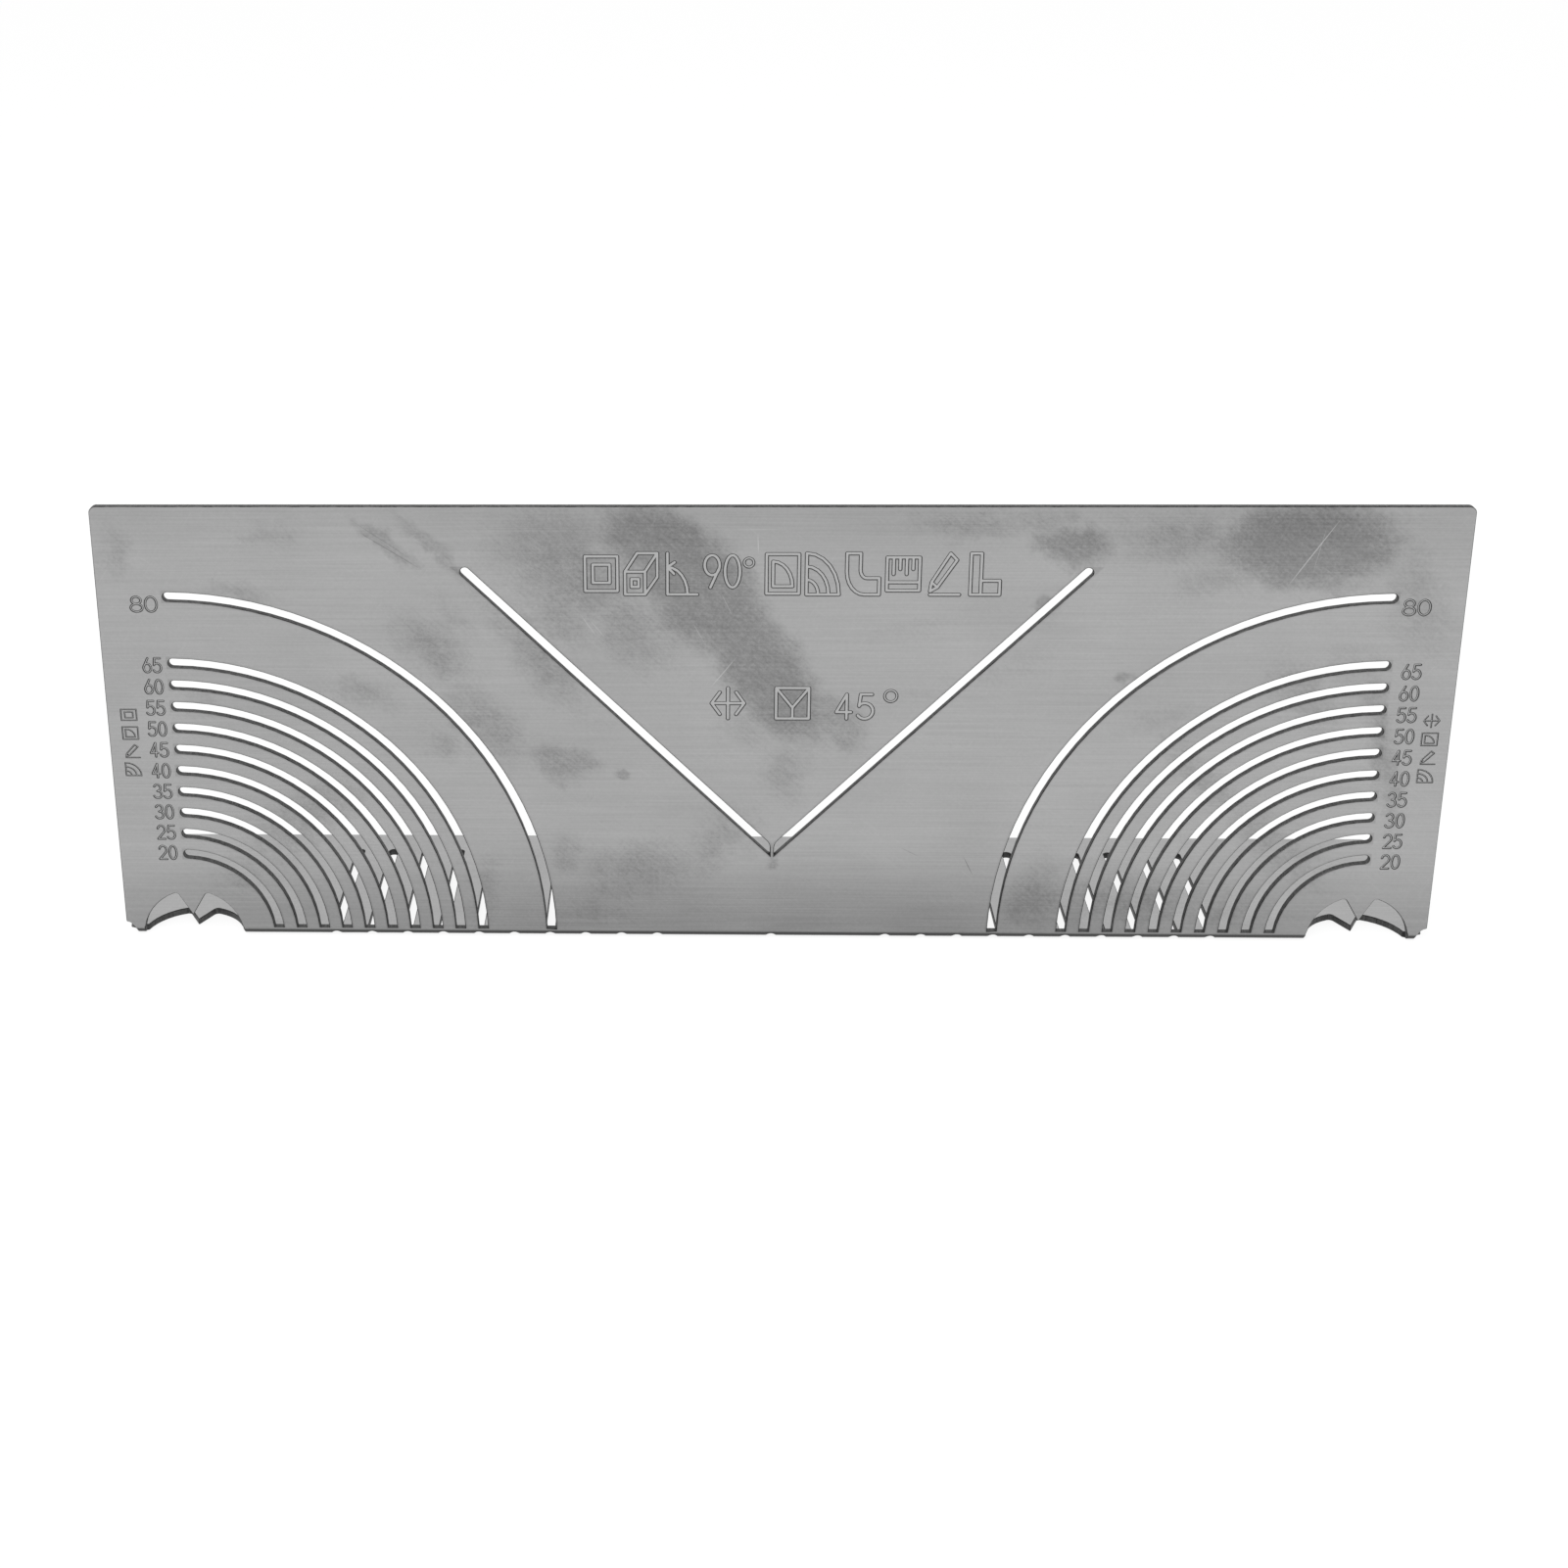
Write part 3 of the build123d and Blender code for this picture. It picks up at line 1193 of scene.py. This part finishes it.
@dataclass
class EngravingTool:
    """A round-ended graver: it sinks grooves with a flat floor and sloping walls."""

    front: float
    depth: float = 0.16 * MM
    rise: float = 0.05 * MM
    wall_run: float = 0.2 * MM
    least_floor: float = 0.08 * MM
    end_sides: int = 16
    sharp_turn: float = math.radians(40)
    seam: float = 1e-8
    place_digits: int = 7

    def half_widths(self, width: float) -> Point:
        """Work out half the groove's width at its floor and at the cutter's top.

        Args:
            width: The groove's width at the plate's face.

        Returns:
            The two halves, the floor's first.
        """
        floor = max(width / 2 - self.wall_run, self.least_floor / 2)
        slope = (width / 2 - floor) / self.depth
        return floor, width / 2 + slope * self.rise

    def profile(self, width: float) -> bpy.types.Object:
        """Draw the groove's section as a closed curve.

        Args:
            width: The groove's width at the plate's face.

        Returns:
            The curve object, flat, with the groove's floor downwards.
        """
        floor, top = self.half_widths(width)
        corners = ((-floor, -self.depth), (floor, -self.depth), (top, self.rise), (-top, self.rise))
        data = bpy.data.curves.new("groove_section", "CURVE")
        data.dimensions = "2D"
        add_run(data, corners, closed=True)
        return put_in_scene("groove_section", data)

    def runs(self, mark: Mark) -> list[Stroke]:
        """Set a mark's strokes on the plate, cut where they turn sharply.

        Args:
            mark: The mark.

        Returns:
            Smooth runs, with their points on the plate.
        """
        size = (mark.high[0] - mark.low[0], mark.high[1] - mark.low[1])
        runs = []
        for stroke in mark.strokes:
            points = [
                Vector((mark.low[0] + across * size[0], mark.low[1] + up * size[1]))
                for across, up in stroke.points
            ]
            if stroke.closed:
                points.append(points[0])
            turns = [
                (after - here).angle(here - before)
                for before, here, after in zip(points, points[1:], points[2:])
            ]
            if stroke.closed and max(turns) < self.sharp_turn:
                runs.append(Stroke(tuple(tuple(point) for point in points[:-1]), closed=True))
                continue
            start = 0
            for corner, turn in enumerate(turns + [math.pi], start=1):
                if turn > self.sharp_turn:
                    piece = points[start : corner + 1]
                    runs.append(Stroke(tuple(tuple(point) for point in piece)))
                    start = corner
        return runs

    def ends(self, runs: list[Stroke]) -> list[Point]:
        """Find where runs begin or end.

        Args:
            runs: The runs, with their points on the plate.

        Returns:
            The places, each of them once.
        """
        return sorted(
            {
                (round(point[0], self.place_digits), round(point[1], self.place_digits))
                for run in runs
                if not run.closed
                for point in (run.points[0], run.points[-1])
            }
        )

    def sweep(self, runs: list[Stroke], width: float) -> bpy.types.Object:
        """Sweep the groove's section along runs that don't touch.

        Args:
            runs: The runs, with their points on the plate.
            width: The line width.

        Returns:
            The swept mesh, flat, as drawn on the table.
        """
        section = self.profile(width)
        data = bpy.data.curves.new("grooves", "CURVE")
        data.dimensions = "3D"
        data.twist_mode = "Z_UP"
        data.bevel_mode = "OBJECT"
        data.bevel_object = section
        data.use_fill_caps = True
        for run in runs:
            add_run(data, run.points, run.closed)
        swept = put_in_scene("grooves", data)
        select_only(swept)
        bpy.ops.object.convert(target="MESH")
        bpy.data.objects.remove(section)
        return swept

    def drill(self, places: list[Point], width: float) -> bpy.types.Object:
        """Make the round ends of grooves, none of which touch.

        Args:
            places: Their middles on the plate.
            width: The line width.

        Returns:
            The cones, flat, as drawn on the table.
        """
        floor, top = self.half_widths(width)
        bpy.ops.object.select_all(action="DESELECT")
        bpy.ops.mesh.primitive_cone_add(
            vertices=self.end_sides,
            radius1=floor,
            radius2=top,
            depth=self.depth + self.rise,
            location=(0.0, 0.0, (self.rise - self.depth) / 2),
        )
        pattern = bpy.context.object
        bpy.ops.object.transform_apply(location=True, rotation=True, scale=True)
        return repeated(pattern, [(across, up, 0.0) for across, up in places])

    def cut(self, piece: bpy.types.Object, cutter: bpy.types.Object) -> None:
        """Sink one cutter into the front of the plate.

        Args:
            piece: The sheet.
            cutter: The cutter, flat, which is used up.
        """
        with editing(cutter):
            bpy.ops.mesh.remove_doubles(threshold=self.seam)
            bpy.ops.mesh.normals_make_consistent(inside=False)
        share_materials(piece, cutter)
        for face in cutter.data.polygons:
            level = abs(face.normal.z) > LEVEL_NORMAL
            kind = Face.GROOVE_FLOOR if level else Face.GROOVE_WALL
            face.material_index = kind.value
        cutter.data.transform(
            Matrix.Translation((0.0, self.front, 0.0)) @ Matrix.Rotation(math.pi / 2, 4, "X")
        )
        apply_modifier(
            piece, "BOOLEAN", operation="DIFFERENCE", object=cutter, solver="MANIFOLD"
        )
        bpy.data.objects.remove(cutter)

    def engrave(self, piece: bpy.types.Object, marks: list[Mark]) -> None:
        """Engrave all marks, in passes whose grooves don't touch.

        Args:
            piece: The sheet.
            marks: The marks, which lie clear of each other.
        """
        for width in sorted({mark.line_width for mark in marks}):
            runs = [self.runs(mark) for mark in marks if mark.line_width == width]
            for group in zip_longest(*runs):
                self.cut(piece, self.sweep([run for run in group if run], width))
            for group in zip_longest(*(self.ends(one) for one in runs)):
                places = [place for place in group if place]
                self.cut(piece, self.drill(places, width))


@dataclass
class SlotEnds:
    """Round ends of the leg's slots in the bend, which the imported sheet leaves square."""

    front: float
    mark_x: float = 127.0 * MM
    bend_radius: float = 2.0 * MM
    outer_radius: float = 1.97 * MM
    inner_radius: float = 0.63 * MM
    half_slot: float = 1.0 * MM
    half_width: float = 1.35 * MM
    top_angle: float = math.radians(6)
    tip_angle: float = math.radians(27)
    columns: int = 27
    rows: int = 6

    def places(self) -> list[float]:
        """Return the places of the leg's slots along the fold."""
        right = [self.mark_x - radius * MM * math.pi / 2 for radius in STEPPED_RADII]
        return sorted([-place for place in right] + right + [0.0])

    def foot_angle(self, across: float) -> float:
        """Work out how far round the bend the filling reaches.

        Args:
            across: The distance from the filling's middle.

        Returns:
            The angle of its round foot.
        """
        off = min(abs(across), self.half_slot)
        rise = self.half_slot - math.sqrt(self.half_slot**2 - off**2)
        return self.tip_angle + rise / self.bend_radius

    def bend(self, point: Vector) -> Vector:
        """Wrap a point of a flat block from -1 to 1 round the bend.

        Args:
            point: The point: X along the fold, Y up the bend, Z from outside to inside.

        Returns:
            Its place on the sheet.
        """
        across = point.x * self.half_width
        share = (1.0 - point.y) / 2
        angle = self.top_angle + share * (self.foot_angle(across) - self.top_angle)
        radius = self.outer_radius + point.z * (self.inner_radius - self.outer_radius)
        axis = self.front + self.bend_radius
        return Vector(
            (across, axis - radius * math.cos(angle), self.bend_radius - radius * math.sin(angle))
        )

    def block(self, piece: bpy.types.Object) -> bpy.types.Object:
        """Model one filling, in the middle of the fold.

        Args:
            piece: The sheet, whose materials it gets.

        Returns:
            The filling.
        """
        bpy.ops.object.select_all(action="DESELECT")
        bpy.ops.mesh.primitive_grid_add(
            x_subdivisions=self.columns, y_subdivisions=self.rows, size=2.0
        )
        block = bpy.context.object
        with editing(block):
            bpy.ops.mesh.extrude_region_move(TRANSFORM_OT_translate={"value": (0.0, 0.0, 1.0)})
        share_materials(piece, block)
        for face in block.data.polygons:
            level = abs(face.normal.z) > LEVEL_NORMAL
            face.material_index = (Face.SKIN if level else Face.WALL).value
        for vertex in block.data.vertices:
            vertex.co = self.bend(vertex.co)
        return block

    def fill(self, piece: bpy.types.Object) -> None:
        """Fill the square ends of the slots down to their round ends.

        Args:
            piece: The sheet.
        """
        blocks = repeated(self.block(piece), [(place, 0.0, 0.0) for place in self.places()])
        with editing(blocks):
            bpy.ops.mesh.normals_make_consistent(inside=False)
        apply_modifier(piece, "BOOLEAN", operation="UNION", object=blocks, solver="MANIFOLD")
        bpy.data.objects.remove(blocks)


@dataclass
class FoldedSheet:
    """The gauge itself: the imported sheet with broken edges, engraving and its finishes."""

    bend_outer_radius: float = 2.0 * MM
    edge_break: float = 0.16 * MM
    sharp_angle: float = math.radians(40)
    skin_agreement: float = 0.9
    flat_angle: float = math.radians(0.2)
    smooth_angle: float = math.radians(30)
    merge_distance: float = 1e-6

    def copy_node(self, node: bpy.types.Object) -> bpy.types.Object:
        """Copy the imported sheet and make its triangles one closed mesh.

        Args:
            node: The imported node, which stays as it is.

        Returns:
            The new piece, with flat faces dissolved to their outlines.
        """
        piece = put_in_scene("marked_sheet", node.data.copy())
        with editing(piece):
            bpy.ops.mesh.customdata_custom_splitnormals_clear()
            bpy.ops.mesh.remove_doubles(threshold=self.merge_distance)
            bpy.ops.mesh.dissolve_limited(angle_limit=self.flat_angle)
        return piece

    def skin_direction(self, point: Vector, front: float) -> Vector:
        """Return the direction through the sheet at a point.

        Args:
            point: A point on the sheet.
            front: The place of the plate's front face.

        Returns:
            The unit direction: back on the plate, down on the leg, radial in the bend.
        """
        bend = Vector((point.x, front + self.bend_outer_radius, self.bend_outer_radius))
        if point.z > bend.z:
            return Vector((0.0, 1.0, 0.0))
        if point.y > bend.y:
            return Vector((0.0, 0.0, 1.0))
        return (point - bend).normalized()

    def sort_faces(self, piece: bpy.types.Object, front: float) -> None:
        """Give the cut walls their own material slot.

        Args:
            piece: The sheet, before its edges are broken.
            front: The place of the plate's front face.
        """
        for face in piece.data.polygons:
            through = self.skin_direction(face.center, front)
            on_skin = abs(face.normal.dot(through)) > self.skin_agreement
            face.material_index = (Face.SKIN if on_skin else Face.WALL).value

    def pull_inside(self, piece: bpy.types.Object, node: bpy.types.Object) -> None:
        """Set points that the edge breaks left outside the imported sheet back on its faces.

        Args:
            piece: The sheet with broken edges.
            node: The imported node.
        """
        for vertex in piece.data.vertices:
            _, near, outward, _ = node.closest_point_on_mesh(vertex.co)
            if (vertex.co - near).dot(outward) > 0.0:
                vertex.co = near

    def build(self, node: bpy.types.Object) -> bpy.types.Object:
        """Build the dressed sheet.

        Args:
            node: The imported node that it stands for.

        Returns:
            The finished piece.
        """
        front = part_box(SHEET_NODE)[0].y
        piece = self.copy_node(node)
        finishes = (RolledSkin(), CutWall(), GrooveFloor(), GrooveWall(), BurntEdge())
        piece.data.materials.clear()
        for finish in finishes:
            piece.data.materials.append(finish.material())
        self.sort_faces(piece, front)
        apply_modifier(
            piece,
            "BEVEL",
            width=self.edge_break,
            segments=1,
            limit_method="ANGLE",
            angle_limit=self.sharp_angle,
            miter_outer="MITER_SHARP",
            use_clamp_overlap=False,
            loop_slide=False,
            material=Face.EDGE.value,
        )
        self.pull_inside(piece, node)
        SlotEnds(front).fill(piece)
        marks = Numbers().marks() + TitleRows().marks() + SideSigns().marks()
        EngravingTool(front).engrave(piece, marks)
        with editing(piece):
            bpy.ops.mesh.remove_doubles(threshold=self.merge_distance)
        bpy.ops.object.shade_smooth_by_angle(angle=self.smooth_angle)
        apply_modifier(piece, "WEIGHTED_NORMAL", mode="FACE_AREA", weight=100, keep_sharp=True)
        log.info("marked sheet: %d marks, %d faces", len(marks), len(piece.data.polygons))
        return piece


# The studio


@dataclass(frozen=True)
class SoftBox:
    """A square soft box that faces the gauge."""

    name: str
    place: Triple
    power: float
    target: Triple = (0.0, 0.0, 0.05)
    size: float = 0.8

    def hang(self) -> bpy.types.Object:
        """Hang the box.

        Returns:
            The lamp.
        """
        data = bpy.data.lights.new(self.name, "AREA")
        data.shape = "SQUARE"
        data.size = self.size
        data.energy = self.power
        lamp = put_in_scene(self.name, data)
        aim = Vector(self.target) - Vector(self.place)
        lamp.matrix_world = (
            Matrix.Translation(self.place) @ aim.to_track_quat("-Z", "Y").to_matrix().to_4x4()
        )
        return lamp


@dataclass
class Studio:
    """Pale floor, soft light and the camera."""

    floor_half_size: float = 3.0
    floor_level: float = 0.9
    floor_white_share: float = 0.88
    camera_place: Triple = (-16.57 * MM, -442.8 * MM, 243.57 * MM)
    heading: float = math.radians(-1.7956)
    tilt_down: float = math.radians(18.4232)
    roll: float = math.radians(0.5768)
    focal_pixels: float = 2213.0
    image_pixels: float = 1601.0
    middle_right: float = 643.47
    middle_down: float = 500.23
    sensor: float = 36.0
    clip: Point = (0.01, 20.0)
    boxes: tuple[SoftBox, ...] = (
        SoftBox("key_box", (-0.5, -0.7, 1.1), 12.0),
        SoftBox("fill_box", (0.9, -0.5, 0.7), 5.0),
    )

    def camera(self) -> bpy.types.Object:
        """Place the camera where the photograph was taken from.

        Returns:
            The camera.
        """
        data = bpy.data.cameras.new("camera")
        data.sensor_width = self.sensor
        data.lens = self.focal_pixels / self.image_pixels * self.sensor
        middle = (self.image_pixels - 1) / 2
        data.shift_x = (middle - self.middle_right) / self.image_pixels
        data.shift_y = (self.middle_down - middle) / self.image_pixels
        data.clip_start, data.clip_end = self.clip
        camera = put_in_scene("camera", data)
        turn = (
            Matrix.Rotation(-self.heading, 4, "Z")
            @ Matrix.Rotation(math.pi / 2 - self.tilt_down, 4, "X")
            @ Matrix.Rotation(-self.roll, 4, "Z")
        )
        camera.matrix_world = Matrix.Translation(self.camera_place) @ turn
        bpy.context.scene.camera = camera
        return camera

    def floor(self) -> bpy.types.Object:
        """Lay the pale floor, which the camera sees nearly white.

        Returns:
            The floor.
        """
        bpy.ops.object.select_all(action="DESELECT")
        bpy.ops.mesh.primitive_plane_add(size=2 * self.floor_half_size)
        floor = bpy.context.object
        floor.name = "floor"
        bench = ShaderBench("floor_white")
        matt = bench.node("ShaderNodeBsdfDiffuse", None, {"Color": grey(self.floor_level)})
        white = bench.node("ShaderNodeEmission", None, {"Color": grey(1.0), "Strength": 1.0})
        path = bench.node("ShaderNodeLightPath")
        seen = Signal(bench, path.outputs["Is Camera Ray"])
        for kind in ("Is Glossy Ray", "Is Transmission Ray"):
            seen = seen.most(Signal(bench, path.outputs[kind]))
        mix = bench.node(
            "ShaderNodeMixShader",
            None,
            {
                0: seen * self.floor_white_share,
                1: Signal(bench, matt.outputs[0]),
                2: Signal(bench, white.outputs[0]),
            },
        )
        floor.data.materials.append(bench.finish(mix))
        return floor

    def world(self) -> None:
        """Set a plain white surrounding."""
        world = bpy.data.worlds.new("white_room")
        world.use_nodes = True
        tree = world.node_tree
        tree.nodes.clear()
        back = tree.nodes.new("ShaderNodeBackground")
        back.inputs["Color"].default_value = grey(1.0)
        back.inputs["Strength"].default_value = 1.0
        output = tree.nodes.new("ShaderNodeOutputWorld")
        tree.links.new(back.outputs[0], output.inputs["Surface"])
        bpy.context.scene.world = world

    def build(self) -> None:
        """Set the whole stage."""
        self.camera()
        self.floor()
        for box in self.boxes:
            box.hang()
        self.world()
        bpy.context.scene.view_settings.view_transform = "Standard"


def main() -> None:
    """Build the studio and the dressed sheet, and report them."""
    logging.basicConfig(level=logging.INFO, format="%(name)s: %(message)s")
    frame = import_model()
    Studio().build()
    log.info("studio: floor, lamps and camera")
    piece = FoldedSheet().build(frame["nodes"][SHEET_NODE])
    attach(piece, "root")
    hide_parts(SHEET_NODE)


if __name__ == "__main__":
    main()
